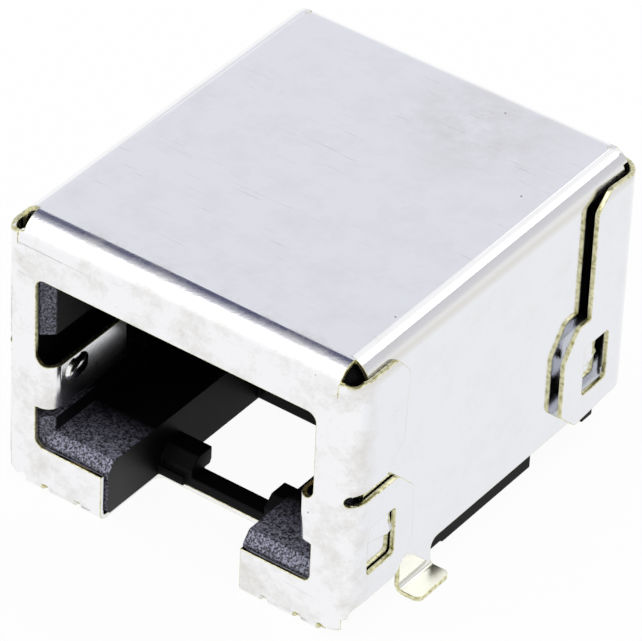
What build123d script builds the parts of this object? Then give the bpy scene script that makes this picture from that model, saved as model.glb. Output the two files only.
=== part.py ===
from build123d import *
import math
import os

# Shielded 8-way modular jack for surface mounting, with its latch channel next to the board.
# Millimetres. X runs across the jack, Y runs back from the plug opening and Z up from the board.
# The origin is on the board, below the middle of the whole jack.
# Every depth is counted back from the outer face of the shield's front wall.

# Sheet of the shield and its folds
sheet = 0.20
fold_radius = 1.07
side_fold_radius = 0.90
rear_fold_radius = 0.80
foot_fold_radius = 0.35

# Shield, over the outer faces of its folded box
shield_depth = 18.20
shield_height = 12.30
panel_width = 15.80
panel_bottom = 1.25
panel_front_bottom = 1.45
rear_wall_bottom = 1.45

# Plug cavity of the housing, with a lead-in round its mouth
cavity_width = 11.90
cavity_height = 6.90
cavity_bottom = 2.59
lead_in = 0.45
lead_in_depth = 0.38
channel_width = 6.30
back_wall = 1.40
floor_length = 3.23

# Opening in the front wall: the lead-in's outline and a margin, with a notch for the latch
window_margin = 0.02
window_corner = 0.40
notch_margin = 0.11

# Front flange under the housing, with a U-shaped gap for the latch and a perforated fold
flange_width = 14.00
flange_reach = 4.30
flange_gap_reach = 3.60
flange_gap_corner = 0.40
perforation_width = 0.38
perforation_top = 0.42
perforation_corner = 0.14
perforation_places = (4.38, 5.92)

# Reliefs at the corners: scoops in front, slits at the rear, and slots where the flange ends
front_fold_inset = 0.60
scoop_radius = 0.50
scoop_drop = 0.67
rear_fold_inset = 0.80
rear_slit_width = 0.24
rear_slit_drop = 1.25
side_fold_rear = 0.50
leg_bottom = 0.41
leg_slot_width = 0.36
leg_slot_top = 0.50

# Front wings, folded back over the side panels, with a slot between an upper and a lower one
front_wing_gap = 0.05
front_wing_drop = 0.54
left_front_drop = 0.85
left_fold_inset = 0.80
front_wing_bottom = 1.40
slot_bottom = 6.18
slot_top = 6.67
slot_angle = 47
leg_end_angle = 40
leg_end_rise = 0.90
upper_wing_reach = 3.34
upper_wing_lean = 0.14
upper_wing_top_cut = (0.78, 0.90)
upper_wing_low_cut = (1.05, 1.14)
upper_wing_low_edge = 0.14
lower_wing_reach = 4.08
lower_wing_top_cut = (1.13, 1.01)
lower_wing_low_cut = (0.86, 1.22)
lower_wing_low_edge = 0.13
wing_corner_radius = 0.45

# Rear wings, folded forward over the side panels, wider in their lower part
rear_wing_gap = 0.20
rear_wing_drop = 0.50
rear_wing_top_fall = 0.18
left_rear_drop = 1.10
rear_wing_reach = 3.08
rear_wing_top_cut = (0.78, 0.70)
rear_wing_step_level = 6.18
rear_wing_low_reach = 4.70
rear_wing_step_cut = (0.87, 1.22)
rear_wing_low_cut = (1.02, 0.96)
rear_wing_bottom = 1.43
rear_wing_low_rise = 0.21
rear_wing_low_run = 2.28

# Windows in the wings, and the locking bumps lanced out of the panels behind them
window_radius = 0.20
front_window_start = 1.17
front_window_length = 1.68
front_window_bottom = 2.60
front_window_height = 2.20
rear_window_start = 1.75
rear_window_length = 1.60
rear_window_bottom = 2.65
rear_window_height = 2.30
bump_crease = 3.88
bump_rise = 0.90
bump_length = 1.64
bump_height = 0.30
bump_peak = 1.10
bump_shoulder = 1.46
bump_shoulder_height = 0.26
bump_edge = 0.01
front_bump_start = 1.20
rear_bump_start = 1.77

# Solder tabs at the foot of the side panels
tab_front = 3.68
tab_length = 2.02
tab_reach = 0.95
tab_fold_radius = 0.40
tab_corner = 0.30
tab_fillet = 0.40

# Earthing fingers, folded in from the sides of the window
finger_stand = 0.33
finger_bottom = 3.99
finger_top = 5.97
finger_root_bottom = 3.95
finger_root_top = 6.45
finger_root_fillet = 0.48
finger_root_step = 0.10
finger_lap = 0.20
finger_fold_radius = 0.65
finger_straight_end = 4.60
finger_end = 5.50
finger_flare = 0.45
finger_flare_radius = 0.50
dimple_length = 1.40
dimple_width = 1.05
dimple_height = 0.12
dimple_slope = 55
dimple_depth = 1.50
dimple_level = 5.38

# Housing, inside the shield
housing_gap = 0.10
housing_bottom = 1.15
base_width = 14.00
base_edge = 0.15
foot_width = 14.90
middle_foot_front = 5.90
middle_foot_step = 7.00
middle_foot_step_height = 0.12
middle_foot_slope = 0.15
middle_foot_inset = 0.10
rear_foot_inset = 0.80
rear_foot_length = 0.70
rib_reach = 1.20
finger_recess_depth = 0.80
finger_recess_bottom = 3.30
finger_recess_top = 7.15
finger_recess_rear = 6.20

# Bar across the latch channel, with a latch stop and a lip at each end
bar_front = 3.60
bar_rear = 4.42
bar_top = 0.65
stop_length = 1.44
stop_rear = 4.86
stop_top = 1.42
stop_slope_foot = 1.00
stop_slope_reach = 0.43
stop_lower_corner = 0.20
lip_length = 1.15
lip_front = 3.45
lip_top = 0.62

# Contacts: a tail on the board, a riser, a run over the shelf, a hairpin and a sprung beam
contact_count = 8
contact_pitch = 1.02
contact_width = 0.35
contact_thickness = 0.25
tail_reach = 0.62
contact_fold_radius = 0.32
beam_angle = 28
beam_tip = 0.60

# Carrier of the contacts: a back plate and a shelf that reaches forward under the roof
roof_thickness = 0.50
run_clearance = 0.05
nose_radius = 0.45
nose_depth = 4.60
mouth_clearance = 0.70
carrier_width = 10.00
carrier_thickness = 2.80
carrier_inset = 0.70
carrier_bottom = 0.60
shelf_width = 8.60
rib_height = 0.22
rib_start = 0.80
groove_clearance = 0.02
pocket_clearance = 0.05
comb_length = 1.70
comb_bottom = 5.80
comb_rib_width = 0.52
comb_lap = 0.10

# How far a cut runs past the material that it removes, how far sections lap each other in the sheet, and the
# least gap between the side fold and the rear wing below it
beyond = 1.00
wing_lap = 0.50
fold_lap = 0.01
side_fold_gap = 0.05

# Faces and levels that follow from the sizes above
face_y = -(shield_depth + tail_reach) / 2
panel_x = panel_width / 2
front_wing_x = panel_x + front_wing_gap + sheet
rear_wing_x = panel_x + rear_wing_gap + sheet
front_flat = front_wing_x - fold_radius
rear_flat = rear_wing_x - fold_radius
roof_start = fold_radius
roof_end = shield_depth - rear_fold_radius
wall_top = shield_height - fold_radius
rear_wall_top = shield_height - rear_fold_radius
front_wing_top = shield_height - front_wing_drop
cavity_x = cavity_width / 2
cavity_top = cavity_bottom + cavity_height
channel_x = channel_width / 2
window_x = cavity_x + lead_in + window_margin
window_bottom = cavity_bottom - lead_in - window_margin
window_top = cavity_top + lead_in + window_margin
housing_front = sheet + housing_gap
housing_rear = shield_depth - sheet - housing_gap
housing_top = shield_height - sheet - housing_gap
housing_x = panel_x - sheet - housing_gap
housing_corner = fold_radius - sheet - housing_gap
roof_inner = housing_top - roof_thickness
carrier_rear = housing_rear - carrier_inset
carrier_front = carrier_rear - carrier_thickness
cavity_rear = carrier_front - back_wall
channel_rear = cavity_rear - floor_length
carrier_top = roof_inner - run_clearance - contact_thickness
shelf_bottom = carrier_top - 2 * nose_radius
comb_front = cavity_rear - comb_length
finger_face = cavity_x - finger_stand


def plan(height):
    """Plane seen from above, with depths counted from the front face."""
    return Plane(origin=(0, face_y, height), x_dir=(1, 0, 0), z_dir=(0, 0, 1))


def side(offset_x):
    """Plane seen from the right, with depth across and height up."""
    return Plane(origin=(offset_x, face_y, 0), x_dir=(0, 1, 0), z_dir=(1, 0, 0))


def front(depth):
    """Plane seen from the front, with X across and height up."""
    return Plane(origin=(0, face_y + depth, 0), x_dir=(1, 0, 0), z_dir=(0, -1, 0))


def folded(points, radius, which=Side.RIGHT):
    """Section of folded sheet that lies on one side of a path with rounded corners."""
    with BuildSketch() as section:
        with BuildLine():
            FilletPolyline(*points, radius=radius)
            offset(amount=sheet, side=which)
        make_face()
    return section.sketch


def outline(*points):
    """Closed outline with sharp corners."""
    with BuildSketch() as shape:
        with BuildLine():
            Polyline(*points, close=True)
        make_face()
    return shape.sketch


def between(low, high, corner_radius=0):
    """Rectangle between two corners, rounded where a radius is given."""
    with BuildSketch() as shape:
        with Locations(((low[0] + high[0]) / 2, (low[1] + high[1]) / 2)):
            if corner_radius:
                RectangleRounded(high[0] - low[0], high[1] - low[1], corner_radius)
            else:
                Rectangle(high[0] - low[0], high[1] - low[1])
    return shape.sketch


def rounded(points, soft, radius):
    """Closed outline whose corners at the points in soft are rounded."""
    with BuildSketch() as shape:
        with BuildLine():
            Polyline(*points, close=True)
        make_face()
        chosen = [
            corner for corner in shape.vertices()
            if any(math.dist((corner.X, corner.Y), point) < radius / 10 for point in soft)
        ]
        fillet(chosen, radius=radius)
    return shape.sketch


# Front wing with its vertical fold: the folded section, kept inside the outline seen from the side
upper_corner_1 = (upper_wing_reach - upper_wing_top_cut[0], front_wing_top)
upper_corner_2 = (upper_wing_reach, front_wing_top - upper_wing_top_cut[1])
upper_corner_3 = (upper_wing_reach - upper_wing_lean, slot_top + upper_wing_low_cut[1])
upper_corner_4 = (upper_wing_reach - upper_wing_low_cut[0], slot_top + upper_wing_low_edge)
upper_free_edge = (
    upper_corner_1, upper_corner_2, upper_corner_3, upper_corner_4,
    (upper_corner_4[0] - upper_wing_low_edge, slot_top),
)
lower_corner_1 = (lower_wing_reach - lower_wing_top_cut[0], slot_bottom)
lower_corner_2 = (lower_wing_reach - lower_wing_low_edge, slot_bottom - lower_wing_top_cut[1])
lower_corner_3 = (lower_wing_reach, front_wing_bottom + lower_wing_low_cut[1])
lower_corner_4 = (lower_wing_reach - lower_wing_low_cut[0], front_wing_bottom + lower_wing_low_edge)
lower_free_edge = (
    lower_corner_1, lower_corner_2, lower_corner_3, lower_corner_4,
    (lower_corner_4[0] - 2 * lower_wing_low_edge, front_wing_bottom),
)
middle_radius = fold_radius - sheet / 2
slot_end_depth = fold_radius - middle_radius * math.cos(math.radians(slot_angle))
slot_end_x = front_flat + middle_radius * math.sin(math.radians(slot_angle))
leg_end_depth = fold_radius - (fold_radius - sheet) * math.cos(math.radians(leg_end_angle))
leg_fillet = front_wing_bottom - leg_end_rise
front_wing_outline = (
    (-beyond, front_wing_top), *upper_free_edge, (slot_end_depth, slot_top),
    (slot_end_depth, slot_bottom), *lower_free_edge, (leg_end_depth, front_wing_bottom),
    (leg_end_depth, leg_bottom), (-beyond, leg_bottom),
)
front_soft_corners = (*upper_free_edge[:2], *lower_free_edge[:4])

with BuildPart() as front_wing:
    with BuildSketch(plan(0)):
        front_path = ((0, 0), (front_wing_x, 0), (front_wing_x, lower_wing_reach + beyond))
        add(folded(front_path, fold_radius, Side.LEFT))
    extrude(amount=front_wing_top)
    with BuildSketch(side(front_flat - wing_lap)):
        add(rounded(front_wing_outline, front_soft_corners, wing_corner_radius))
        # Fillet where the leg's end runs into the lower edge of the wing
        add(between((leg_end_depth, leg_end_rise), (leg_end_depth + leg_fillet, front_wing_bottom)))
        with Locations((leg_end_depth + leg_fillet, leg_end_rise)):
            Circle(leg_fillet, mode=Mode.SUBTRACT)
        add(
            between((front_window_start, front_window_bottom),
                    (front_window_start + front_window_length, front_window_bottom + front_window_height),
                    window_radius),
            mode=Mode.SUBTRACT,
        )
    extrude(amount=wing_lap + fold_radius + beyond, mode=Mode.INTERSECT)
    # Above the front wall the vertical fold starts beside the fold of the roof, and its top is scooped out
    with BuildSketch(front(-beyond)):
        add(between((0, wall_top), (panel_x - front_fold_inset, shield_height)))
    extrude(amount=-2 * beyond, mode=Mode.SUBTRACT)
    scoop = Plane(
        origin=(front_flat, face_y + fold_radius, shield_height - scoop_drop + scoop_radius),
        x_dir=(0, 0, 1),
        z_dir=(1, -1, 0),
    )
    with BuildSketch(scoop):
        Circle(scoop_radius)
    extrude(amount=fold_radius + beyond, mode=Mode.SUBTRACT)
    # The leg ends on the vertical fold with a cut square to the sheet
    with BuildSketch(plan(0)):
        fold_end = (front_flat + fold_radius + beyond, fold_radius)
        cut_depth = fold_radius - (fold_radius + beyond) / math.tan(math.radians(leg_end_angle))
        add(outline((front_flat, fold_radius), fold_end, (fold_end[0], cut_depth)))
    extrude(amount=leg_end_rise, mode=Mode.SUBTRACT)
    # Round end of the slot between the two wings
    slot_end = Plane(
        origin=(slot_end_x, face_y + slot_end_depth, (slot_bottom + slot_top) / 2),
        x_dir=(0, 0, 1),
        z_dir=(math.sin(math.radians(slot_angle)), -math.cos(math.radians(slot_angle)), 0),
    )
    with BuildSketch(slot_end):
        Circle((slot_top - slot_bottom) / 2)
    extrude(amount=sheet, both=True, mode=Mode.SUBTRACT)

# Rear wing with its vertical fold, made in the same way, with depths counted from the rear face
rear_wing_top = shield_height - rear_wing_drop
rear_corner_1 = (shield_depth - rear_wing_reach + rear_wing_top_cut[0], rear_wing_top)
rear_corner_2 = (shield_depth - rear_wing_reach, rear_wing_top - rear_wing_top_cut[1])
rear_corner_3 = (shield_depth - rear_wing_reach, rear_wing_step_level)
rear_corner_4 = (shield_depth - rear_wing_low_reach + rear_wing_step_cut[0], rear_wing_step_level)
rear_corner_5 = (shield_depth - rear_wing_low_reach, rear_wing_step_level - rear_wing_step_cut[1])
rear_corner_6 = (shield_depth - rear_wing_low_reach, rear_wing_bottom + rear_wing_low_cut[1])
rear_corner_7 = (shield_depth - rear_wing_low_reach + rear_wing_low_cut[0], rear_wing_bottom)
rear_low_end = (rear_corner_7[0] + rear_wing_low_run, rear_wing_bottom + rear_wing_low_rise)
rear_wing_outline = (
    (shield_depth, rear_wing_top - rear_wing_top_fall), rear_corner_1, rear_corner_2, rear_corner_3,
    rear_corner_4, rear_corner_5, rear_corner_6, rear_corner_7, rear_low_end, (shield_depth, rear_low_end[1]),
)
rear_soft_corners = (rear_corner_1, rear_corner_2, rear_corner_4, rear_corner_5, rear_corner_6, rear_corner_7)
rear_window_rear = shield_depth - rear_window_start

with BuildPart() as rear_wing:
    with BuildSketch(plan(0)):
        rear_path = ((0, shield_depth), (rear_wing_x, shield_depth),
                     (rear_wing_x, shield_depth - rear_wing_low_reach - beyond))
        add(folded(rear_path, fold_radius, Side.RIGHT))
    extrude(amount=shield_height)
    with BuildSketch(side(rear_flat - wing_lap)):
        add(rounded(rear_wing_outline, rear_soft_corners, wing_corner_radius))
        add(
            between((rear_window_rear - rear_window_length, rear_window_bottom),
                    (rear_window_rear, rear_window_bottom + rear_window_height), window_radius),
            mode=Mode.SUBTRACT,
        )
    extrude(amount=wing_lap + fold_radius + beyond, mode=Mode.INTERSECT)
    # Above the rear wall it starts beside a slit that frees the fold of the roof
    with BuildSketch(front(shield_depth + beyond)):
        slit_x = panel_x - rear_fold_inset
        add(between((0, rear_wall_top), (slit_x, shield_height)))
        add(between((slit_x, shield_height - rear_slit_drop), (slit_x + rear_slit_width, shield_height)))
    extrude(amount=fold_radius + beyond, mode=Mode.SUBTRACT)

# Locking bumps: each is pushed out above a cut, rises to a shoulder away from the fold of its wing, and runs
# out towards its top
bump_places = ((front_bump_start, 1), (shield_depth - rear_bump_start, -1))


def bump_core(face_x, start, heading):
    """Solid under a bump's surface, on a panel face at face_x, heading back (1) or forward (-1)."""
    with BuildPart() as core:
        for level, share in ((bump_crease, 1), (bump_crease + bump_rise, bump_edge)):
            with BuildSketch(plan(level)):
                add(outline(
                    (face_x - sheet, start), (face_x, start),
                    (face_x + share * bump_height, start + heading * bump_peak),
                    (face_x + share * bump_shoulder_height, start + heading * bump_shoulder),
                    (face_x, start + heading * bump_length), (face_x - sheet, start + heading * bump_length),
                ))
        loft(ruled=True)
    return core.part


bumps_outside = [bump_core(panel_x, start, heading) for start, heading in bump_places]
bumps_inside = [bump_core(panel_x - sheet, start, heading) for start, heading in bump_places]

# Earthing finger: wide at its root on the window's edge, with a contact dimple near the fold
with BuildPart() as finger:
    with BuildSketch(plan(finger_root_bottom)):
        with BuildLine():
            FilletPolyline(
                (window_x + finger_lap, 0), (finger_face, 0), (finger_face, finger_straight_end),
                (finger_face + finger_flare, finger_end), radius=(finger_fold_radius, finger_flare_radius),
            )
            offset(amount=sheet, side=Side.RIGHT)
        make_face()
    extrude(amount=finger_root_top - finger_root_bottom)
    with BuildSketch(front(-beyond)):
        add(outline(
            (window_x - finger_root_fillet, finger_root_top), (window_x + beyond, finger_root_top),
            (window_x + beyond, finger_root_bottom), (window_x, finger_root_bottom),
            (window_x - finger_root_step, finger_bottom), (finger_face - beyond, finger_bottom),
            (finger_face - beyond, finger_top), (window_x - finger_root_fillet, finger_top),
        ))
        with Locations((window_x - finger_root_fillet, finger_top + finger_root_fillet)):
            Circle(finger_root_fillet, mode=Mode.SUBTRACT)
    extrude(amount=-beyond - finger_end, mode=Mode.INTERSECT)
    dimple_centre = (finger_face, face_y + dimple_depth, dimple_level)
    with BuildSketch(Plane(origin=dimple_centre, x_dir=(0, 1, 0), z_dir=(-1, 0, 0))):
        SlotOverall(dimple_length, dimple_width)
    extrude(amount=dimple_height, taper=dimple_slope)

# Solder tab, with a fillet between its rear edge and the panel's lower edge
tab_rear = tab_front + tab_length

with BuildPart() as tab:
    with BuildSketch(front(tab_front)):
        tab_x = panel_x - sheet
        add(folded(((tab_x, panel_front_bottom + sheet), (tab_x, 0), (panel_x + tab_reach, 0)),
                   tab_fold_radius, Side.LEFT))
    extrude(amount=-tab_length)
    tab_ends = tab.edges().filter_by(Axis.Z).group_by(Axis.X)[-1]
    fillet(tab_ends, radius=tab_corner)
    with BuildSketch(side(panel_x - sheet)):
        add(between((tab_rear, panel_bottom - tab_fillet), (tab_rear + tab_fillet, panel_bottom)))
        with Locations((tab_rear + tab_fillet, panel_bottom - tab_fillet)):
            Circle(tab_fillet, mode=Mode.SUBTRACT)
    extrude(amount=sheet)

# Shield: one folded sheet, built as its right half and mirrored
with BuildPart() as shield:
    # Roof, side fold and side panel in one section
    with BuildSketch(front(roof_start)):
        add(folded(((0, shield_height), (panel_x, shield_height), (panel_x, panel_bottom)), side_fold_radius))
    extrude(amount=roof_start - roof_end)
    # Above the rear wing the side fold runs on beside the rear fold
    with BuildSketch(front(roof_end)):
        add(folded(((panel_x - side_fold_radius - fold_lap, shield_height), (panel_x, shield_height),
                    (panel_x, panel_bottom)), side_fold_radius))
        add(between((0, 0), (panel_x, rear_wing_top + side_fold_gap)), mode=Mode.SUBTRACT)
    extrude(amount=side_fold_rear - rear_fold_radius)
    # Ahead of the solder tab the panel's lower edge stays a little higher
    with BuildSketch(side(panel_x - sheet)):
        add(between((0, 0), (tab_front, panel_front_bottom)))
    extrude(amount=sheet, mode=Mode.SUBTRACT)
    # Front fold of the roof
    with BuildSketch(side(0)):
        add(folded(((0, wall_top - fold_lap), (0, shield_height), (roof_start + fold_lap, shield_height)),
                   fold_radius))
    extrude(amount=panel_x - front_fold_inset)
    # Front wall with its foot fold and flange
    with BuildSketch(side(0)):
        add(folded(((flange_reach, 0), (0, 0), (0, wall_top)), foot_fold_radius))
    extrude(amount=front_flat)
    # Rear fold of the roof
    with BuildSketch(side(0)):
        add(folded(((roof_end - fold_lap, shield_height), (shield_depth, shield_height),
                    (shield_depth, rear_wall_top - fold_lap)), rear_fold_radius))
    extrude(amount=panel_x - rear_fold_inset)
    # Rear wall
    with BuildSketch(front(shield_depth)):
        add(between((0, rear_wall_bottom), (rear_flat, shield_height - rear_slit_drop)))
        add(between((0, rear_wall_bottom), (panel_x - rear_fold_inset, rear_wall_top)))
    extrude(amount=sheet)
    add(front_wing.part)
    add(rear_wing.part)
    # Plug opening, with the notch for the latch down through the foot fold
    with BuildSketch(front(-beyond)):
        notch_x = channel_x + notch_margin
        window_points = (
            (0, window_top), (window_x, window_top), (window_x, window_bottom), (notch_x, window_bottom),
            (notch_x, -beyond), (0, -beyond),
        )
        add(rounded(window_points, window_points[1:3], window_corner))
    extrude(amount=-beyond - sheet, mode=Mode.SUBTRACT)
    # Outline of the flange, with its U-shaped gap under the latch channel
    with BuildSketch(plan(-beyond)):
        add(between((-notch_x, -beyond), (notch_x, flange_gap_reach), flange_gap_corner))
        add(between((flange_width / 2, foot_fold_radius), (flange_width / 2 + beyond, flange_reach + beyond)))
    extrude(amount=beyond + sheet, mode=Mode.SUBTRACT)
    with BuildSketch(front(-beyond)):
        add(between((0, -beyond), (notch_x, window_bottom)))
    extrude(amount=-beyond - foot_fold_radius, mode=Mode.SUBTRACT)
    # Perforations along the foot fold, and a slot between the fold's end and the corner's higher leg
    leg_start = (flange_width + leg_slot_width) / 2
    with BuildSketch(front(-beyond)):
        with Locations([(place, (perforation_top - beyond) / 2) for place in perforation_places]):
            RectangleRounded(perforation_width, perforation_top + beyond, perforation_corner)
        with Locations((flange_width / 2, (leg_slot_top - beyond) / 2)):
            RectangleRounded(leg_slot_width, leg_slot_top + beyond, perforation_corner)
        add(between((leg_start, -beyond), (front_flat + beyond, leg_bottom)))
    extrude(amount=-beyond - foot_fold_radius, mode=Mode.SUBTRACT)
    add(tab.part)
    # Locking bumps, hollow behind
    add(bumps_outside)
    add(bumps_inside, mode=Mode.SUBTRACT)
    add(finger.part)
    mirror(about=Plane.YZ)
    # The left wings end lower than the right ones, in front with a slope up to a shorter fold of the roof
    left_front_top = shield_height - left_front_drop
    with BuildSketch(front(-beyond)):
        add(outline(
            (-front_wing_x - beyond, left_front_top), (-panel_x, left_front_top),
            (left_fold_inset - panel_x, front_wing_top), (left_fold_inset - panel_x, shield_height),
            (-front_wing_x - beyond, shield_height),
        ))
    extrude(amount=fold_lap - beyond - roof_start, mode=Mode.SUBTRACT)
    with BuildSketch(front(0)):
        add(between((-front_wing_x - beyond, left_front_top), (-panel_x, shield_height)))
    extrude(amount=-upper_wing_reach - beyond, mode=Mode.SUBTRACT)
    with BuildSketch(plan(shield_height)):
        wing_start = shield_depth - rear_wing_reach - beyond
        add(between((-rear_wing_x - beyond, wing_start), (-panel_x, shield_depth)))
        add(between((-rear_wing_x, shield_depth - side_fold_rear + fold_lap),
                    (rear_fold_inset - panel_x - fold_lap, shield_depth + beyond)))
    extrude(amount=-left_rear_drop, mode=Mode.SUBTRACT)

shield.part.label = "shield"

# Housing: one moulding that fills the shield
middle_foot_rear = cavity_rear - middle_foot_inset
rear_foot_rear = housing_rear - rear_foot_inset

with BuildPart() as housing:
    with BuildSketch(front(housing_front)):
        add(between((-housing_x, housing_bottom), (housing_x, housing_top)))
    extrude(amount=housing_front - housing_rear)
    upper_edges = housing.edges().group_by(Axis.Z)[-1]
    upright_edges = housing.edges().filter_by(Axis.Z)
    fillet(upper_edges + upright_edges, radius=housing_corner)
    # Base that stands on the flange
    with BuildSketch(side(0)):
        add(outline(
            (housing_front, housing_bottom + base_edge), (housing_front, sheet + base_edge),
            (housing_front + base_edge, sheet), (middle_foot_front, sheet),
            (middle_foot_front, housing_bottom + base_edge),
        ))
    extrude(amount=base_width / 2, both=True)
    # Frame of the floor opening, down to the board behind the flange
    with BuildSketch(side(0)):
        add(between((flange_reach + housing_gap, 0), (middle_foot_rear, housing_bottom + base_edge)))
    extrude(amount=channel_x + rib_reach, both=True)
    # Feet that stand on the board
    with BuildSketch(side(0)):
        add(outline(
            (middle_foot_front, housing_bottom + base_edge), (middle_foot_front, middle_foot_step_height),
            (middle_foot_step, middle_foot_step_height), (middle_foot_step + middle_foot_slope, 0),
            (middle_foot_rear, 0), (middle_foot_rear, housing_bottom + base_edge),
        ))
        add(between((rear_foot_rear - rear_foot_length, 0), (rear_foot_rear, housing_bottom + base_edge)))
    extrude(amount=foot_width / 2, both=True)
    # Plug cavity with its lead-in
    with BuildSketch(front(housing_front)):
        add(between((-cavity_x, cavity_bottom), (cavity_x, cavity_top)))
    extrude(amount=housing_front - cavity_rear, mode=Mode.SUBTRACT)
    with BuildSketch(front(housing_front)):
        add(between((-cavity_x - lead_in, cavity_bottom - lead_in),
                    (cavity_x + lead_in, cavity_top + lead_in)))
    with BuildSketch(front(housing_front + lead_in_depth)):
        add(between((-cavity_x, cavity_bottom), (cavity_x, cavity_top)))
    loft(mode=Mode.SUBTRACT)
    # Latch channel, open below
    with BuildSketch(front(0)):
        add(between((-channel_x, -beyond), (channel_x, cavity_bottom + lead_in)))
    extrude(amount=-channel_rear, mode=Mode.SUBTRACT)
    # Recesses in which the earthing fingers flex
    with BuildSketch(front(0)):
        recess_x = cavity_x + finger_recess_depth
        add(between((-recess_x, finger_recess_bottom), (recess_x, finger_recess_top)))
    extrude(amount=-finger_recess_rear, mode=Mode.SUBTRACT)
    # Bar across the channel, with a latch stop and a lip at each end
    with BuildSketch(side(0)):
        add(between((bar_front, sheet), (bar_rear, bar_top)))
    extrude(amount=channel_x, both=True)
    for hand in (1, -1):
        with BuildSketch(side(hand * channel_x)):
            add(outline(
                (bar_front, sheet), (bar_front, stop_slope_foot), (bar_front + stop_slope_reach, stop_top),
                (stop_rear, stop_top), (stop_rear, bar_top + stop_lower_corner),
                (stop_rear - stop_lower_corner / 2, bar_top), (bar_rear, bar_top), (bar_rear, sheet),
            ))
        extrude(amount=-hand * stop_length)
        with BuildSketch(side(hand * channel_x)):
            add(between((lip_front, sheet), (bar_rear, lip_top)))
        extrude(amount=-hand * lip_length)
    # Opening in the ceiling and tunnel in the back wall, for the contacts and their shelf
    tunnel_x = shelf_width / 2 + pocket_clearance
    ceiling_front = nose_depth - nose_radius - contact_thickness - mouth_clearance
    with BuildSketch(front(ceiling_front)):
        add(between((-tunnel_x, cavity_top - lead_in), (tunnel_x, roof_inner)))
    extrude(amount=ceiling_front - cavity_rear, mode=Mode.SUBTRACT)
    with BuildSketch(front(cavity_rear)):
        add(between((-tunnel_x, shelf_bottom), (tunnel_x, roof_inner)))
    extrude(amount=-back_wall, mode=Mode.SUBTRACT)
    # Rear pocket for the carrier, open below for the contacts' tails
    pocket_x = carrier_width / 2 + pocket_clearance
    with BuildSketch(front(carrier_front)):
        add(between((-pocket_x, -beyond), (pocket_x, roof_inner)))
    extrude(amount=carrier_front - housing_rear, mode=Mode.SUBTRACT)
    # Comb that keeps the contacts' tips apart
    comb_top = shelf_bottom - comb_lap
    with BuildSketch(front(comb_front)):
        with Locations((0, (comb_bottom + comb_top) / 2)):
            with GridLocations(contact_pitch, 1, contact_count + 1, 1):
                Rectangle(comb_rib_width, comb_top - comb_bottom)
    extrude(amount=-comb_length)

housing.part.label = "housing"

# Carrier, with ribs that keep the contacts apart on the shelf and down the back
with BuildPart() as contact_carrier:
    with BuildSketch(side(0)):
        add(between((carrier_front, carrier_bottom), (carrier_rear + rib_height, carrier_top + rib_height)))
    extrude(amount=carrier_width / 2, both=True)
    with BuildSketch(side(0)):
        add(between((nose_depth, shelf_bottom), (carrier_front, carrier_top)))
        with Locations((nose_depth, carrier_top - nose_radius)):
            Circle(nose_radius)
        add(between((nose_depth + rib_start, carrier_top), (carrier_front, carrier_top + rib_height)))
    extrude(amount=shelf_width / 2, both=True)
    groove_width = contact_width + 2 * groove_clearance
    with BuildSketch(front(0)):
        with Locations((0, carrier_top + rib_height)):
            with GridLocations(contact_pitch, 1, contact_count, 1):
                Rectangle(groove_width, 2 * rib_height)
    extrude(amount=-housing_rear, mode=Mode.SUBTRACT)
    with BuildSketch(plan(0)):
        with Locations((0, carrier_rear + rib_height)):
            with GridLocations(contact_pitch, 1, contact_count, 1):
                Rectangle(groove_width, 2 * rib_height)
    extrude(amount=shield_height, mode=Mode.SUBTRACT)

contact_carrier.part.label = "contact_carrier"

# Contacts, traced along the middle of the strip
half_thickness = contact_thickness / 2
riser_depth = carrier_rear + half_thickness
run_level = carrier_top + half_thickness
hairpin_radius = nose_radius + half_thickness
hairpin_depth = nose_depth - hairpin_radius / math.tan(math.radians(beam_angle / 2))
beam_end = comb_front + beam_tip
beam_end_level = run_level - (beam_end - hairpin_depth) * math.tan(math.radians(beam_angle))
contact_path = (
    (shield_depth + tail_reach, half_thickness), (riser_depth, half_thickness), (riser_depth, run_level),
    (hairpin_depth, run_level), (beam_end, beam_end_level),
)

os.makedirs("parts", exist_ok=True)
for number in range(1, contact_count + 1):
    with BuildPart() as contact:
        with BuildSketch(side((number - (contact_count + 1) / 2) * contact_pitch)):
            with BuildLine():
                fold_radii = (contact_fold_radius, contact_fold_radius, hairpin_radius)
                FilletPolyline(*contact_path, radius=fold_radii)
            trace(line_width=contact_thickness)
        extrude(amount=contact_width / 2, both=True)
    contact.part.label = f"contact_{number}"
    export_step(contact.part, f"parts/contact_{number}.step")

export_step(shield.part, "parts/shield.step")
export_step(housing.part, "parts/housing.step")
export_step(contact_carrier.part, "parts/contact_carrier.step")
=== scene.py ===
"""Looks of a shielded modular board jack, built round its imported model."""

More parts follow.
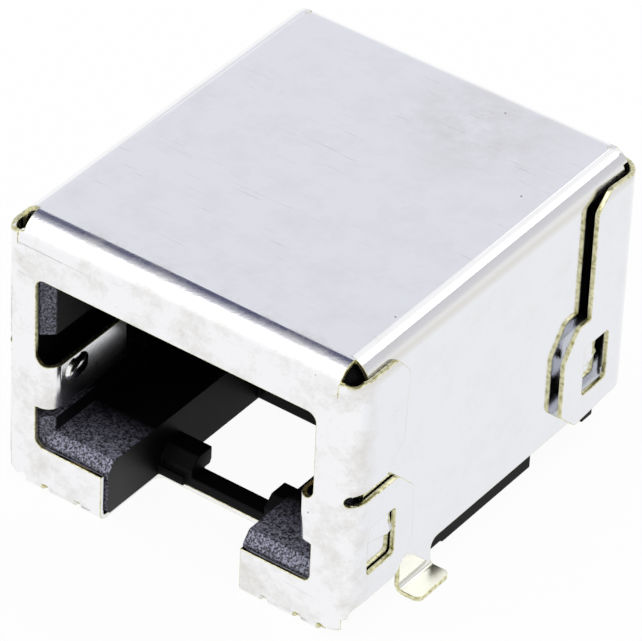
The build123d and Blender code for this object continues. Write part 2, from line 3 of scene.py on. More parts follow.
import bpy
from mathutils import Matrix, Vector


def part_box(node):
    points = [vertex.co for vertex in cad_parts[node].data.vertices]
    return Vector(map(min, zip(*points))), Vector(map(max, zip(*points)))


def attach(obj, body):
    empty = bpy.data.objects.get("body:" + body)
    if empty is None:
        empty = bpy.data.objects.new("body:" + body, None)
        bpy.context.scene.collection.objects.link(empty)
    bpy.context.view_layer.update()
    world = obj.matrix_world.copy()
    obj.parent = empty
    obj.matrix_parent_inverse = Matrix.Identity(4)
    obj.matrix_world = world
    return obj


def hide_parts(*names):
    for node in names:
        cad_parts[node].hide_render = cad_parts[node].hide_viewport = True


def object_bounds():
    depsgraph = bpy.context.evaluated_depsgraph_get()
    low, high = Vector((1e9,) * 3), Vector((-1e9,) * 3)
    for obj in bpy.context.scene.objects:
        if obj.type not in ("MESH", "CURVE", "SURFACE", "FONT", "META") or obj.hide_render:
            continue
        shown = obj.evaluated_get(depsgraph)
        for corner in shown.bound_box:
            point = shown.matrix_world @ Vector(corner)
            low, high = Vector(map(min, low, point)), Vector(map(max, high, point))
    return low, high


bl_info = {
    "name": "Board jack looks",
    "version": (1, 0, 0),
    "blender": (4, 5, 0),
    "location": "View3D > Sidebar > Board jack",
    "description": "Plated sheet, moulded housing, gilt contacts, and the stage for a shielded board jack",
    "category": "Object",
}

import math

import bmesh
import bpy
from bpy.props import FloatProperty, FloatVectorProperty, PointerProperty
from mathutils import Matrix, Vector
from mathutils.bvhtree import BVHTree

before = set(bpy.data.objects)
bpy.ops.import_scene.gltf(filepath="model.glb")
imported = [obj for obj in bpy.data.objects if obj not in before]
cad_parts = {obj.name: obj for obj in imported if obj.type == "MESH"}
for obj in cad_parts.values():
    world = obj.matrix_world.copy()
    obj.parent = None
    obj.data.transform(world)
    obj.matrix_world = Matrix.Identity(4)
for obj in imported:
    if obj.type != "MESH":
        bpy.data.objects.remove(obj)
CAD_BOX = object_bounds()
MM = 0.001

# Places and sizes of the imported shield
FRONT_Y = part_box("shield")[0].y
ROOF_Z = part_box("shield")[1].z
SHEET = 0.20 * MM
FINGER_FACE = 5.62 * MM

# Points of a mesh that are closer than this are one
WELD = 0.0005 * MM

# Faces that turn by less than this are one flat face
FLAT = math.radians(0.3)

# Edges sharper than this are rounded, unless they meet an edge shorter than the second value
SHARP = math.radians(35)
CROWDED = 0.02 * MM

# Shading breaks at edges sharper than this
HARD = math.radians(50)

# A patch of the sheet ends where it turns by more than this
CREASE = math.radians(25)

# How far under the skin a ray into the sheet starts
NUDGE = 0.001 * MM

# Sheet nearer the middle than this is a finger's dimple
DIMPLE = FINGER_FACE - 0.005 * MM

# Settings that several nodes share
MULTIPLY = {"operation": "MULTIPLY"}
CLAMPED_MULTIPLY = {"operation": "MULTIPLY", "use_clamp": True}
MAXIMUM = {"operation": "MAXIMUM"}
ABSOLUTE = {"operation": "ABSOLUTE"}
COLOURS = {"data_type": "RGBA"}

# Places of a colour mix among a Mix node's sockets, which share their names with its other kinds
MIX_A, MIX_B, MIXED = 6, 7, 2


def linear(colour):
    """Linear RGBA from an sRGB hex colour."""
    values = [int(colour[place:place + 2], 16) / 255 for place in (1, 3, 5)]
    return [v / 12.92 if v <= 0.04045 else ((v + 0.055) / 1.055) ** 2.4 for v in values] + [1.0]


def at(x, depth, z):
    """Point from millimetres across, back from the front face and up from the board."""
    return Vector((x * MM, FRONT_Y + depth * MM, z * MM))


def add(tree, kind, inputs=None, settings=None, stops=()):
    """Adds a node with its settings, colour stops, and input values or links, and returns it."""
    made = tree.nodes.new("ShaderNode" + kind)
    for name, value in (settings or {}).items():
        setattr(made, name, value)
    for key, value in (inputs or {}).items():
        if isinstance(value, bpy.types.NodeSocket):
            tree.links.new(value, made.inputs[key])
        else:
            made.inputs[key].default_value = value
    for place, (position, colour) in enumerate(stops):
        elements = made.color_ramp.elements
        element = elements[place] if place < 2 else elements.new(position)
        element.position = position
        element.color = colour if isinstance(colour, list) else (colour, colour, colour, 1)
    return made


def principled(name):
    """New node material, its tree and its shader."""
    material = bpy.data.materials.new(name)
    material.use_nodes = True
    return material, material.node_tree, material.node_tree.nodes["Principled BSDF"]


# Settings that a user would change

class ShieldSettings(bpy.types.PropertyGroup):
    """Bright-plated sheet of the shield."""
    plate: FloatVectorProperty(
        name="Plate", description="Colour of the bright nickel plate", subtype="COLOR", size=4, min=0, max=1,
        default=linear("#F5F5F7"),
    )
    # This colour also draws the grey band along the side folds
    haze: FloatVectorProperty(
        name="Haze", description="Colour of the plate where handling has dulled it", subtype="COLOR", size=4,
        min=0, max=1, default=linear("#DCDAD5"),
    )
    # Painted shade: the plate on the side panels is drawn in this darker, bluer colour
    side: FloatVectorProperty(
        name="Side", description="Colour of the plate on the side panels", subtype="COLOR", size=4, min=0,
        max=1, default=linear("#EAEBEF"),
    )
    dust: FloatVectorProperty(
        name="Dust", description="Colour of dust specks and scratches", subtype="COLOR", size=4, min=0, max=1,
        default=linear("#9A958C"),
    )
    flux: FloatVectorProperty(
        name="Flux", description="Colour of the plate on the solder tabs", subtype="COLOR", size=4, min=0,
        max=1, default=linear("#ECEBDC"),
    )
    brass: FloatVectorProperty(
        name="Cut edge", description="Colour of the bare brass at the cut edges", subtype="COLOR", size=4,
        min=0, max=1, default=linear("#E8E5C0"),
    )
    tarnish: FloatVectorProperty(
        name="Tarnish", description="Colour of the brass where it has darkened", subtype="COLOR", size=4,
        min=0, max=1, default=linear("#A5A068"),
    )
    edge: FloatProperty(
        name="Edge", description="Width of the rounding that punching leaves on the sheet's edges",
        default=0.03 * MM, min=0.005 * MM, max=0.05 * MM, unit="LENGTH", precision=6,
    )


class MouldingSettings(bpy.types.PropertyGroup):
    """Black mouldings of the housing and the carrier."""
    colour: FloatVectorProperty(
        name="Colour", description="Colour of the filled black nylon", subtype="COLOR", size=4, min=0, max=1,
        default=linear("#0B0B0E"),
    )
    # This colour is both fibres and painted light: it shows on faces turned up and to the front near the mouth
    lit_fibre: FloatVectorProperty(
        name="Fibre", description="Colour of the glass fibres that show at the skin", subtype="COLOR", size=4,
        min=0, max=1, default=linear("#B4B4CC"),
    )
    edge: FloatProperty(
        name="Edge", description="Width of the rounding on the moulding's edges", default=0.05 * MM,
        min=0.01 * MM, max=0.1 * MM, unit="LENGTH", precision=6,
    )


class ContactSettings(bpy.types.PropertyGroup):
    """Gilt contacts."""
    gilt: FloatVectorProperty(
        name="Gilt", description="Colour of the thin gold plate", subtype="COLOR", size=4, min=0, max=1,
        default=linear("#E0BE6A"),
    )
    bronze: FloatVectorProperty(
        name="Bronze", description="Colour where the gold has worn thin", subtype="COLOR", size=4, min=0,
        max=1, default=linear("#B98F4C"),
    )


class StageSettings(bpy.types.PropertyGroup):
    """Camera, lamps and floor."""
    azimuth: FloatProperty(
        name="Azimuth", description="Camera's azimuth", default=math.radians(34.938), subtype="ANGLE",
    )
    elevation: FloatProperty(
        name="Elevation", description="Camera's elevation", default=math.radians(37.403), subtype="ANGLE",
    )
    roll: FloatProperty(
        name="Roll", description="Camera's roll", default=math.radians(2.526), subtype="ANGLE",
    )
    distance: FloatProperty(
        name="Distance", description="Camera's distance from the aim point", default=214.97 * MM,
        unit="LENGTH",
    )
    lens: FloatProperty(
        name="Lens", description="Focal length in millimetres on the sensor", default=321.2, unit="CAMERA",
    )
    fill: FloatProperty(
        name="Fill", description="Strength of the even light from all round", default=0.78, min=0,
    )
    lamp: FloatProperty(
        name="Lamp", description="Brightness of each soft lamp's face, where 1 is white", default=1.2, min=0,
    )


# Plate of the shield

# The film is thickest on the front wall, back to this depth
FRONT_FILM = 0.8 * MM

# Middle of the thumb's smudge, and the radii where it starts to fade and where it ends
THUMB = at(2.6, 15.6, 12.3)
THUMB_FULL = 1.2 * MM
THUMB_END = 4.6 * MM

# How far below the roof the grey band on the side folds lies, and how far from its middle it starts to fade
# and ends
FOLD_BAND_DROP = 0.68 * MM
FOLD_BAND_FULL = 0.04 * MM
FOLD_BAND_END = 0.36 * MM

# The solder tabs are lower than this and further out than this
TAB_TOP = 0.40 * MM
TAB_START = 7.85 * MM

# The fingers' inner faces are nearer the middle than this
FINGER_INSIDE = FINGER_FACE + 0.28 * MM

# Lengths over which the looks of tabs and fingers fade
TAB_FADE = 0.1 * MM
SIDE_FADE = 0.2 * MM


def plate_film(tree, place, spot, sideways):
    """Share of the dull film that handling left, and of a grey band. Ragged patches, 1 to 2 mm across, lie
    mostly on the front wall. A thumb's smudge on the rear right of the roof is 9 mm across where it ends. A
    grey band, 0.4 mm wide at half its strength, lies under the side folds."""
    patches = add(tree, "TexNoise", {
        "Vector": place, "Scale": 1 / (1.8 * MM), "Detail": 10.0, "Roughness": 0.72,
    })
    film = add(tree, "ValToRGB", {"Fac": patches.outputs["Fac"]}, stops=((0.47, 0.0), (0.70, 1.0)))
    share = add(tree, "MapRange", {
        "Value": spot.outputs["Y"], "From Min": FRONT_Y + FRONT_FILM, "From Max": FRONT_Y + 2 * FRONT_FILM,
        "To Min": 1.0, "To Max": 0.22,
    })
    filmed = add(tree, "Math", {0: film.outputs["Color"], 1: share.outputs["Result"]}, MULTIPLY)
    away = add(tree, "VectorMath", {0: place, 1: THUMB}, {"operation": "DISTANCE"})
    thumb = add(tree, "MapRange", {
        "Value": away.outputs["Value"], "From Min": THUMB_FULL, "From Max": THUMB_END,
        "To Min": 0.55, "To Max": 0.0,
    })
    ragged = add(tree, "MapRange", {"Value": patches.outputs["Fac"], "From Min": 0.38, "From Max": 0.60})
    smudge = add(tree, "Math", {0: thumb.outputs["Result"], 1: ragged.outputs["Result"]}, MULTIPLY)
    level = add(tree, "Math", {0: spot.outputs["Z"], 1: ROOF_Z - FOLD_BAND_DROP}, {"operation": "SUBTRACT"})
    off = add(tree, "Math", {0: level.outputs[0]}, ABSOLUTE)
    band = add(tree, "MapRange", {
        "Value": off.outputs[0], "From Min": FOLD_BAND_FULL, "From Max": FOLD_BAND_END, "To Min": 0.8, "To Max": 0.0,
    })
    upright = add(tree, "MapRange", {"Value": sideways, "From Min": 0.50, "From Max": 0.70})
    fold_band = add(tree, "Math", {0: band.outputs["Result"], 1: upright.outputs["Result"]}, MULTIPLY)
    handled = add(tree, "Math", {0: filmed.outputs[0], 1: smudge.outputs[0]}, MAXIMUM)
    return add(tree, "Math", {0: handled.outputs[0], 1: fold_band.outputs[0]}, MAXIMUM).outputs[0]


def plate_marks(tree, place):
    """Share of the small marks. Faint scratches across are 0.06 mm wide and about 2 mm long, drawn twice as
    wide as real ones so that they show. Dust specks under 0.1 mm are in about one cell of ten of a 0.7 mm
    pattern."""
    stretched = add(tree, "Mapping", {
        "Vector": place, "Rotation": (0, 0, math.radians(-4)), "Scale": (0.055, 1.0, 1.0),
    })
    streaks = add(tree, "TexNoise", {
        "Vector": stretched.outputs["Vector"], "Scale": 1 / (0.12 * MM), "Detail": 2.0,
    })
    scratch = add(tree, "ValToRGB", {"Fac": streaks.outputs["Fac"]}, stops=((0.68, 0.0), (0.78, 1.0)))
    faint = add(tree, "Math", {0: scratch.outputs["Color"], 1: 0.22}, MULTIPLY)
    cells = add(tree, "TexVoronoi", {"Vector": place, "Scale": 1 / (0.7 * MM)})
    dot = add(tree, "Math", {0: cells.outputs["Distance"], 1: 0.065}, {"operation": "LESS_THAN"})
    chance = add(tree, "SeparateColor", {"Color": cells.outputs["Color"]})
    chosen = add(tree, "Math", {0: chance.outputs["Red"], 1: 0.9}, {"operation": "GREATER_THAN"})
    speck = add(tree, "Math", {0: dot.outputs[0], 1: chosen.outputs[0]}, MULTIPLY)
    return add(tree, "Math", {0: speck.outputs[0], 1: faint.outputs[0]}, MAXIMUM).outputs[0]


def bright_nickel_plate(settings):
    """Bright nickel plated on rolled brass, folded and handled: it mirrors the studio, a little blurred, with
    fine scratches across, dust specks, and a dull film in patches."""
    material, tree, shader = principled("bright_nickel_plate")
    shader.inputs["Metallic"].default_value = 1.0
    place = add(tree, "TexCoord").outputs["Object"]
    spot = add(tree, "SeparateXYZ", {"Vector": place})
    facing = add(tree, "SeparateXYZ", {"Vector": add(tree, "NewGeometry").outputs["Normal"]})
    sideways = add(tree, "Math", {0: facing.outputs["X"]}, ABSOLUTE).outputs[0]
    across = add(tree, "Math", {0: spot.outputs["X"]}, ABSOLUTE).outputs[0]
    film = plate_film(tree, place, spot, sideways)
    marks = plate_marks(tree, place)
    # Painted shade: the side panels, and whatever else faces sideways, are drawn a little duller and bluer than
    # the rest
    side_shade = add(tree, "MapRange", {"Value": sideways, "From Min": 0.80, "From Max": 1.0})
    shaded_plate = add(tree, "Mix", {
        0: side_shade.outputs["Result"], MIX_A: settings.plate, MIX_B: settings.side,
    }, COLOURS)
    handled = add(tree, "Mix", {0: film, MIX_A: shaded_plate.outputs[MIXED], MIX_B: settings.haze}, COLOURS)
    marked = add(tree, "Mix", {0: marks, MIX_A: handled.outputs[MIXED], MIX_B: settings.dust}, COLOURS)
    # Flux has left a yellow tint on the solder tabs
    outward = add(tree, "MapRange", {
        "Value": across, "From Min": TAB_START, "From Max": TAB_START + SIDE_FADE,
    })
    low = add(tree, "MapRange", {
        "Value": spot.outputs["Z"], "From Min": TAB_TOP, "From Max": TAB_TOP + TAB_FADE,
        "To Min": 1.0, "To Max": 0.0,
    })
    tab = add(tree, "Math", {0: outward.outputs["Result"], 1: low.outputs["Result"]}, MULTIPLY)
    fluxed = add(tree, "Mix", {
        0: tab.outputs[0], MIX_A: marked.outputs[MIXED], MIX_B: settings.flux,
    }, COLOURS)
    tree.links.new(fluxed.outputs[MIXED], shader.inputs["Base Color"])
    # Folding has drawn the grain up along the front's top fold, which is rougher than the flat sheet, and use
    # and solder flux have brushed the fingers' inner faces and the solder tabs
    frontward = add(tree, "Math", {0: facing.outputs["Y"], 1: facing.outputs["Z"]}, MULTIPLY)
    folded = add(tree, "MapRange", {"Value": frontward.outputs[0], "From Min": -0.02, "From Max": -0.30})
    inner = add(tree, "MapRange", {
        "Value": across, "From Min": FINGER_INSIDE, "From Max": FINGER_INSIDE + SIDE_FADE,
        "To Min": 1.0, "To Max": 0.0,
    })
    finger = add(tree, "Math", {0: inner.outputs["Result"], 1: sideways}, CLAMPED_MULTIPLY)
    plugged = add(tree, "Math", {0: finger.outputs[0], 1: 0.35}, MULTIPLY)
    rubbed = add(tree, "Math", {0: plugged.outputs[0], 1: tab.outputs[0]}, MAXIMUM)
    worn = add(tree, "Math", {0: rubbed.outputs[0], 1: folded.outputs["Result"]}, MAXIMUM)
    base = add(tree, "MapRange", {"Value": worn.outputs[0], "To Min": 0.08, "To Max": 0.30})
    dull = add(tree, "Math", {0: film, 1: 0.16, 2: base.outputs["Result"]}, {"operation": "MULTIPLY_ADD"})
    tree.links.new(dull.outputs[0], shader.inputs["Roughness"])
    # Peel of the plate, 0.1 mm from crest to crest
    peel = add(tree, "TexNoise", {"Vector": place, "Scale": 1 / (0.1 * MM), "Detail": 3.0})
    rise = add(tree, "MapRange", {"Value": folded.outputs["Result"], "To Min": 0.08, "To Max": 0.75})
    relief = add(tree, "Bump", {
        "Strength": rise.outputs["Result"], "Distance": 0.01 * MM, "Height": peel.outputs["Fac"],
    })
    tree.links.new(relief.outputs["Normal"], shader.inputs["Normal"])
    return material


def sheared_brass(settings):
    """Bare brass at the punched edges of the sheet, burnished in part and torn in part, which shows as yellow
    edges with olive streaks."""
    material, tree, shader = principled("sheared_brass_edge")
    shader.inputs["Metallic"].default_value = 1.0
    shader.inputs["Roughness"].default_value = 0.34
    place = add(tree, "TexCoord").outputs["Object"]
    # Tear marks 0.08 mm across, drawn two to three times as coarse as real ones so that they show
    tears = add(tree, "TexNoise", {
        "Vector": place, "Scale": 1 / (0.16 * MM), "Detail": 4.0, "Roughness": 0.6,
    })
    tone = add(tree, "ValToRGB", {"Fac": tears.outputs["Fac"]},
               stops=((0.44, list(settings.brass)), (0.68, list(settings.tarnish))))
    tree.links.new(tone.outputs["Color"], shader.inputs["Base Color"])
    relief = add(tree, "Bump", {"Strength": 0.3, "Distance": 0.01 * MM, "Height": tears.outputs["Fac"]})
    tree.links.new(relief.outputs["Normal"], shader.inputs["Normal"])
    return material


# Plastic and contacts

# The mouldings show fibres and sheen back to this depth and up to this height, and both fade over a length.
# This is painted light near the mouth, and further in and higher up is painted shade
LIT_DEPTH = 1.0 * MM
DEPTH_FADE = 2.2 * MM
LIT_TOP = 10.7 * MM
TOP_FADE = 0.3 * MM

# Painted light: fibres and dust show most on what faces this way, which is up and a little to the front,
# where the light comes from
LIT_FACING = (0, -0.6, 0.85)


def moulded_nylon(settings):
    """Glass-filled black nylon, moulded in a spark-eroded tool: satin and finely gritty. Pale fibres at its
    skin are painted light near the mouth, on faces turned up and to the front, and further in and higher up it
    is painted shade, plain black with less sheen."""
    material, tree, shader = principled("moulded_glass_filled_nylon")
    shader.inputs["Roughness"].default_value = 0.46
    shader.inputs["IOR"].default_value = 1.53
    place = add(tree, "TexCoord").outputs["Object"]
    # Grit of about 0.05 mm, drawn at 0.08 mm so that it shows
    grit = add(tree, "TexNoise", {
        "Vector": place, "Scale": 1 / (0.085 * MM), "Detail": 3.0, "Roughness": 0.6,
    })
    specks = add(tree, "ValToRGB", {"Fac": grit.outputs["Fac"]}, stops=((0.42, 0.05), (0.62, 1.0)))
    # Painted light and painted shade: fibres and sheen are kept to the mouth, and further in or up the nylon is
    # plain black
    spot = add(tree, "SeparateXYZ", {"Vector": place})
    fore = add(tree, "MapRange", {
        "Value": spot.outputs["Y"], "From Min": FRONT_Y + LIT_DEPTH,
        "From Max": FRONT_Y + LIT_DEPTH + DEPTH_FADE, "To Min": 1.0, "To Max": 0.0,
    })
    under = add(tree, "MapRange", {
        "Value": spot.outputs["Z"], "From Min": LIT_TOP, "From Max": LIT_TOP + TOP_FADE,
        "To Min": 1.0, "To Max": 0.0,
    })
    skin = add(tree, "Math", {0: fore.outputs["Result"], 1: under.outputs["Result"]}, MULTIPLY)
    sheen = add(tree, "MapRange", {"Value": skin.outputs[0], "To Min": 0.05, "To Max": 0.26})
    tree.links.new(sheen.outputs["Result"], shader.inputs["Specular IOR Level"])
    # The fibres' painted light is least on the walls, which face away from the light
    normal = add(tree, "NewGeometry").outputs["Normal"]
    upward = add(tree, "VectorMath", {0: normal, 1: LIT_FACING}, {"operation": "DOT_PRODUCT"})
    bare = add(tree, "Math", {0: upward.outputs["Value"], 1: skin.outputs[0]}, CLAMPED_MULTIPLY)
    lit_fibres = add(tree, "Math", {0: bare.outputs[0], 1: specks.outputs["Color"]}, CLAMPED_MULTIPLY)
    tone = add(tree, "Mix", {0: lit_fibres.outputs[0], MIX_A: settings.colour, MIX_B: settings.lit_fibre}, COLOURS)
    tree.links.new(tone.outputs[MIXED], shader.inputs["Base Color"])
    relief = add(tree, "Bump", {"Strength": 0.5, "Distance": 0.02 * MM, "Height": grit.outputs["Fac"]})
    tree.links.new(relief.outputs["Normal"], shader.inputs["Normal"])
    return material


def gilt_bronze(settings):
    """Spring bronze with a thin gold plate, smooth from stamping, a little worn in patches of 0.6 mm."""
    material, tree, shader = principled("gilt_spring_bronze")
    shader.inputs["Metallic"].default_value = 1.0
    shader.inputs["Roughness"].default_value = 0.22
    place = add(tree, "TexCoord").outputs["Object"]
    wear = add(tree, "TexNoise", {"Vector": place, "Scale": 1 / (0.6 * MM), "Detail": 4.0})
    tone = add(tree, "ValToRGB", {"Fac": wear.outputs["Fac"]},
               stops=((0.45, list(settings.gilt)), (0.8, list(settings.bronze))))
    tree.links.new(tone.outputs["Color"], shader.inputs["Base Color"])
    return material


# Pieces

def mark_cut_edges(work):
    """Gives the second material to the strips between the sheet's two skins. They are as narrow as the sheet
    is thick, and the metal behind them runs deeper than that."""
    skins = BVHTree.FromBMesh(work)
    limit = 1.3 * SHEET
    unseen = set(work.faces)
    while unseen:
        patch = [unseen.pop()]
        rim = 0.0
        for face in patch:
            for edge in face.edges:
                others = [other for other in edge.link_faces if other is not face]
                if not others or edge.calc_face_angle(math.pi) > CREASE:
                    rim += edge.calc_length()
                elif others[0] in unseen:
                    unseen.remove(others[0])
                    patch.append(others[0])
        area = sum(face.calc_area() for face in patch)
        if not rim or 2 * area / rim > limit:
            continue
        for face in patch:
            centre = face.calc_center_median()
            depth = skins.ray_cast(centre - face.normal * NUDGE, -face.normal)[3]
            if abs(centre.x) >= DIMPLE and (depth is None or depth > limit):
                face.material_index = 1


def refined(name, source, edge_width, materials, sort_faces=None):
    """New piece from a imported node, with flat faces whole again and its sharp edges rounded off. The rounding
    has the last of the materials."""
    work = bmesh.new()
    work.from_mesh(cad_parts[source].data)
    bmesh.ops.remove_doubles(work, verts=work.verts, dist=WELD)
    if sort_faces:
        sort_faces(work)
    bmesh.ops.dissolve_limit(
        work, angle_limit=FLAT, verts=work.verts, edges=work.edges, delimit={"MATERIAL"},
    )
    crowded = {vertex for edge in work.edges if edge.calc_length() < CROWDED for vertex in edge.verts}
    sharp = [
        edge for edge in work.edges
        if len(edge.link_faces) == 2 and edge.calc_face_angle() > SHARP
        and not crowded.intersection(edge.verts)
    ]
    surface = BVHTree.FromBMesh(work)
    bmesh.ops.bevel(
        work, geom=sharp, offset=edge_width, offset_type="OFFSET", segments=2, profile=0.6, affect="EDGES",
        clamp_overlap=False, loop_slide=False, material=len(materials) - 1,
    )
    # Where edges meet at a slant, a rounded corner can run off, and is brought back to the surface
    low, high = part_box(source)
    for vertex in work.verts:
        nearest, _, _, distance = surface.find_nearest(vertex.co)
        if distance > edge_width:
            vertex.co = nearest
        vertex.co = [min(max(value, least), most) for value, least, most in zip(vertex.co, low, high)]
    mesh = bpy.data.meshes.new(name)
    work.to_mesh(mesh)
    work.free()
    for material in materials:
        mesh.materials.append(material)
    mesh.shade_smooth()
    mesh.set_sharp_from_angle(angle=HARD)
    piece = bpy.data.objects.new(name, mesh)
    bpy.context.scene.collection.objects.link(piece)
    even = piece.modifiers.new("even_shading", "WEIGHTED_NORMAL")
    even.keep_sharp = True
    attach(piece, "root")
    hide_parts(source)


def dress(name, material):
    """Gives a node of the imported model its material."""
    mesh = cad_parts[name].data
    mesh.materials.clear()
    mesh.materials.append(material)


# Stage

# Width of the floor, and how far it lies below the lowest point of the jack, so that the two don't touch
FLOOR_WIDTH = 800 * MM
FLOOR_DROP = 0.02 * MM

# The front fold's bright band mirrors the first lamp, and the side fold's the second: direction and width
LAMP_DISTANCE = 420 * MM
LAMPS = {
    "front_softbox": ((-0.455, -0.50, 0.74), 260 * MM),
    "rear_softbox": ((0.38, 0.651, 0.66), 200 * MM),
}

# The roof mirrors a pale grey card at the back, the upper part of the front fold a dark one above it, and the
# lower part of the side fold a grey one beside the second lamp. Each has its direction, its width and height,
# and its shades from the lower edge up
CARD_DISTANCE = 350 * MM
CARDS = {
    "grey_card": ((-0.49, 0.72, 0.46), (300 * MM, 240 * MM), ((0.0, "#E4E5EB"), (1.0, "#ECEDF3"))),
    "dark_card": ((-0.50, 0.26, 0.83), (300 * MM, 200 * MM),
                  ((0.0, "#D0D0E0"), (0.18, "#32345A"), (0.70, "#3E4066"), (1.0, "#F0F0F0"))),
    "side_card": ((0.66, 0.651, 0.33), (340 * MM, 240 * MM),
                  ((0.0, "#CFCFD2"), (0.60, "#DCDCDE"), (1.0, "#FFFFFF"))),
}

# Point inside the jack that the camera is set by, and how far right of it and above it the photograph's
# middle is
AIM = at(0, 7.49, 5.971)
AIM_RIGHT = 1.019 * MM
AIM_ABOVE = 0.552 * MM

# Width of the sensor in millimetres, and the nearest and furthest that the camera sees
SENSOR = 36
NEAR = 10 * MM
FAR = 5000 * MM


def placed(across, upward, back, origin):
    """Matrix of an object whose X, Y and Z run along the first three vectors."""
    return Matrix((
        (across.x, upward.x, back.x, origin.x),
        (across.y, upward.y, back.y, origin.y),
        (across.z, upward.z, back.z, origin.z),
        (0, 0, 0, 1),
    ))


def rectangle(name, width, height):
    """New flat rectangle with its origin in its middle."""
    mesh = bpy.data.meshes.new(name)
    corners = [(x * width / 2, y * height / 2, 0) for x, y in ((-1, -1), (1, -1), (1, 1), (-1, 1))]
    mesh.from_pydata(corners, [], [(0, 1, 2, 3)])
    made = bpy.data.objects.new(name, mesh)
    bpy.context.scene.collection.objects.link(made)
    return made


def seen(tree):
    """1 for rays by which the camera, metal or glass sees a surface, and 0 for its light on other things."""
    path = add(tree, "LightPath")
    first = add(tree, "Math", {0: path.outputs["Is Camera Ray"], 1: path.outputs["Is Glossy Ray"]}, MAXIMUM)
    both = add(tree, "Math", {0: first.outputs[0], 1: path.outputs["Is Transmission Ray"]}, MAXIMUM)
    return both.outputs[0]


def white_tent(scene, fill):
    """Even light from all round, with a plain white background."""
    world = bpy.data.worlds.new("white_tent")
    world.use_nodes = True
    scene.world = world
    tree = world.node_tree
    level = add(tree, "MapRange", {"Value": seen(tree), "To Min": fill, "To Max": 1.0})
    background = tree.nodes["Background"]
    background.inputs["Color"].default_value = (1, 1, 1, 1)
    tree.links.new(level.outputs["Result"], background.inputs["Strength"])


def paper_floor():
    """White paper under the jack. Most of what is seen of it is plain white, and the rest keeps the jack's
    shadow."""
    floor = rectangle("floor", FLOOR_WIDTH, FLOOR_WIDTH)
    floor.location.z = CAD_BOX[0].z - FLOOR_DROP
    material, tree, shader = principled("white_paper")
    shader.inputs["Base Color"].default_value = linear("#FAFAFA")
    shader.inputs["Roughness"].default_value = 0.9
    shader.inputs["Specular IOR Level"].default_value = 0.0
    glow = add(tree, "Emission")
    share = add(tree, "Math", {0: seen(tree), 1: 0.95}, MULTIPLY)
    mixed = add(tree, "MixShader", {
        0: share.outputs[0], 1: shader.outputs["BSDF"], 2: glow.outputs["Emission"],
    })
    tree.links.new(mixed.outputs["Shader"], tree.nodes["Material Output"].inputs["Surface"])
    floor.data.materials.append(material)


def soft_lamp(name, direction, size, brightness):
    """Square soft lamp that faces the jack."""
    data = bpy.data.lights.new(name, "AREA")
    data.shape = "SQUARE"
    data.size = size
    data.energy = brightness * math.pi * size ** 2
    lamp = bpy.data.objects.new(name, data)
    bpy.context.scene.collection.objects.link(lamp)
    toward = Vector(direction).normalized()
    lamp.rotation_mode = "QUATERNION"
    lamp.rotation_quaternion = toward.to_track_quat("Z", "Y")
    lamp.location = toward * LAMP_DISTANCE


def studio_card(name, direction, size, shades):
    """Card that faces the jack, seen only in its plate, shaded from its lower edge to its upper one."""
    card = rectangle(name, *size)
    toward = Vector(direction).normalized()
    level = toward.cross(Vector((0, 0, 1))).normalized()
    upward = level.cross(-toward)
    card.matrix_world = placed(upward.cross(toward), upward, toward, toward * CARD_DISTANCE)
    material = bpy.data.materials.new(name)
    material.use_nodes = True
    tree = material.node_tree
    tree.nodes.remove(tree.nodes["Principled BSDF"])
    spot = add(tree, "SeparateXYZ", {"Vector": add(tree, "TexCoord").outputs["Generated"]})
    shade = add(tree, "ValToRGB", {"Fac": spot.outputs["Y"]},
                stops=[(position, linear(colour)) for position, colour in shades])
    glow = add(tree, "Emission", {"Color": shade.outputs["Color"]})
    tree.links.new(glow.outputs["Emission"], tree.nodes["Material Output"].inputs["Surface"])
    card.data.materials.append(material)
    card.visible_camera = False
    card.visible_diffuse = False
    card.visible_shadow = False


def photo_camera(scene, settings):
    """Camera at the photograph's angle and frame."""
    data = bpy.data.cameras.new("camera")
    camera = bpy.data.objects.new("camera", data)
    scene.collection.objects.link(camera)
    az, el, roll = settings.azimuth, settings.elevation, settings.roll
    back = Vector((math.sin(az) * math.cos(el), -math.cos(az) * math.cos(el), math.sin(el)))
    right = Vector((0, 0, 1)).cross(back).normalized()
    up = back.cross(right)
    across = right * math.cos(roll) + up * math.sin(roll)
    upward = -right * math.sin(roll) + up * math.cos(roll)
    eye = AIM + across * AIM_RIGHT + upward * AIM_ABOVE + back * settings.distance
    camera.matrix_world = placed(across, upward, back, eye)
    data.sensor_width = SENSOR
    data.lens = settings.lens
    data.clip_start = NEAR
    data.clip_end = FAR
    scene.camera = camera


# Operators

class JACK_OT_shield(bpy.types.Operator):
    """Makes the folded shield: plate on its skins and brass on its cut edges"""
    bl_idname = "jack.shield"
    bl_label = "Shield"

    def execute(self, context):
        settings = context.scene.jack_shield
        materials = (bright_nickel_plate(settings), sheared_brass(settings))
        refined("plated_shield", "shield", settings.edge, materials, mark_cut_edges)
        return {"FINISHED"}


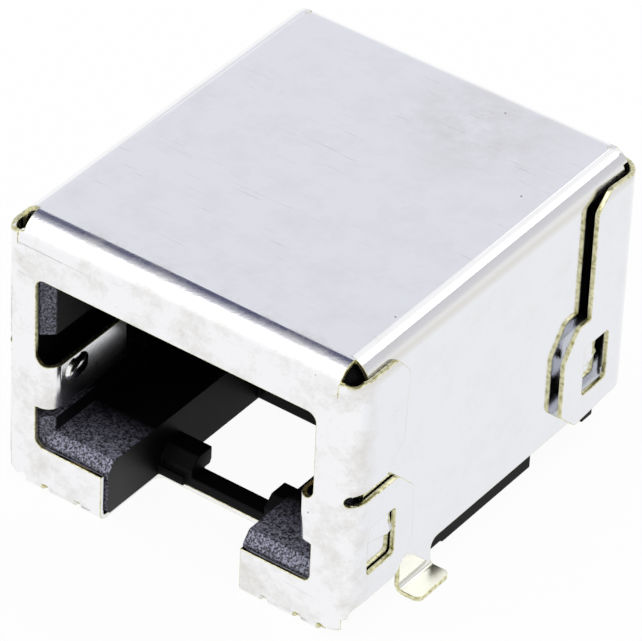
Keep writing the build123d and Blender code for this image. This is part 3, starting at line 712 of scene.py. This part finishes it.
class JACK_OT_mouldings(bpy.types.Operator):
    """Makes the housing with its softened edges, and dresses the carrier of the contacts"""
    bl_idname = "jack.mouldings"
    bl_label = "Mouldings"

    def execute(self, context):
        settings = context.scene.jack_moulding
        nylon = moulded_nylon(settings)
        refined("moulded_housing", "housing", settings.edge, (nylon,))
        dress("contact_carrier", nylon)
        return {"FINISHED"}


class JACK_OT_contacts(bpy.types.Operator):
    """Dresses the eight contacts"""
    bl_idname = "jack.contacts"
    bl_label = "Contacts"

    def execute(self, context):
        gilt = gilt_bronze(context.scene.jack_contact)
        for number in range(1, 9):
            dress(f"contact_{number}", gilt)
        return {"FINISHED"}


class JACK_OT_stage(bpy.types.Operator):
    """Sets up the white floor, the soft lamps, the cards that the plate mirrors, and the camera"""
    bl_idname = "jack.stage"
    bl_label = "Stage"

    def execute(self, context):
        settings = context.scene.jack_stage
        context.scene.view_settings.view_transform = "Standard"
        white_tent(context.scene, settings.fill)
        paper_floor()
        for name, (direction, size) in LAMPS.items():
            soft_lamp(name, direction, size, settings.lamp)
        for name, (direction, size, shades) in CARDS.items():
            studio_card(name, direction, size, shades)
        photo_camera(context.scene, settings)
        return {"FINISHED"}


class JACK_PT_panel(bpy.types.Panel):
    """Lists the jack's pieces and the stage"""
    bl_label = "Board jack"
    bl_space_type = "VIEW_3D"
    bl_region_type = "UI"
    bl_category = "Board jack"

    def draw(self, context):
        for made in OPERATORS:
            self.layout.operator(made.bl_idname)


OPERATORS = (JACK_OT_shield, JACK_OT_mouldings, JACK_OT_contacts, JACK_OT_stage)
GROUPS = {
    "jack_shield": ShieldSettings,
    "jack_moulding": MouldingSettings,
    "jack_contact": ContactSettings,
    "jack_stage": StageSettings,
}


def register():
    for name, group in GROUPS.items():
        bpy.utils.register_class(group)
        setattr(bpy.types.Scene, name, PointerProperty(type=group))
    for made in OPERATORS:
        bpy.utils.register_class(made)
    bpy.utils.register_class(JACK_PT_panel)


def unregister():
    bpy.utils.unregister_class(JACK_PT_panel)
    for made in reversed(OPERATORS):
        bpy.utils.unregister_class(made)
    for name, group in GROUPS.items():
        delattr(bpy.types.Scene, name)
        bpy.utils.unregister_class(group)


def main():
    register()
    bpy.ops.jack.shield()
    bpy.ops.jack.mouldings()
    bpy.ops.jack.contacts()
    bpy.ops.jack.stage()


if __name__ == "__main__":
    main()
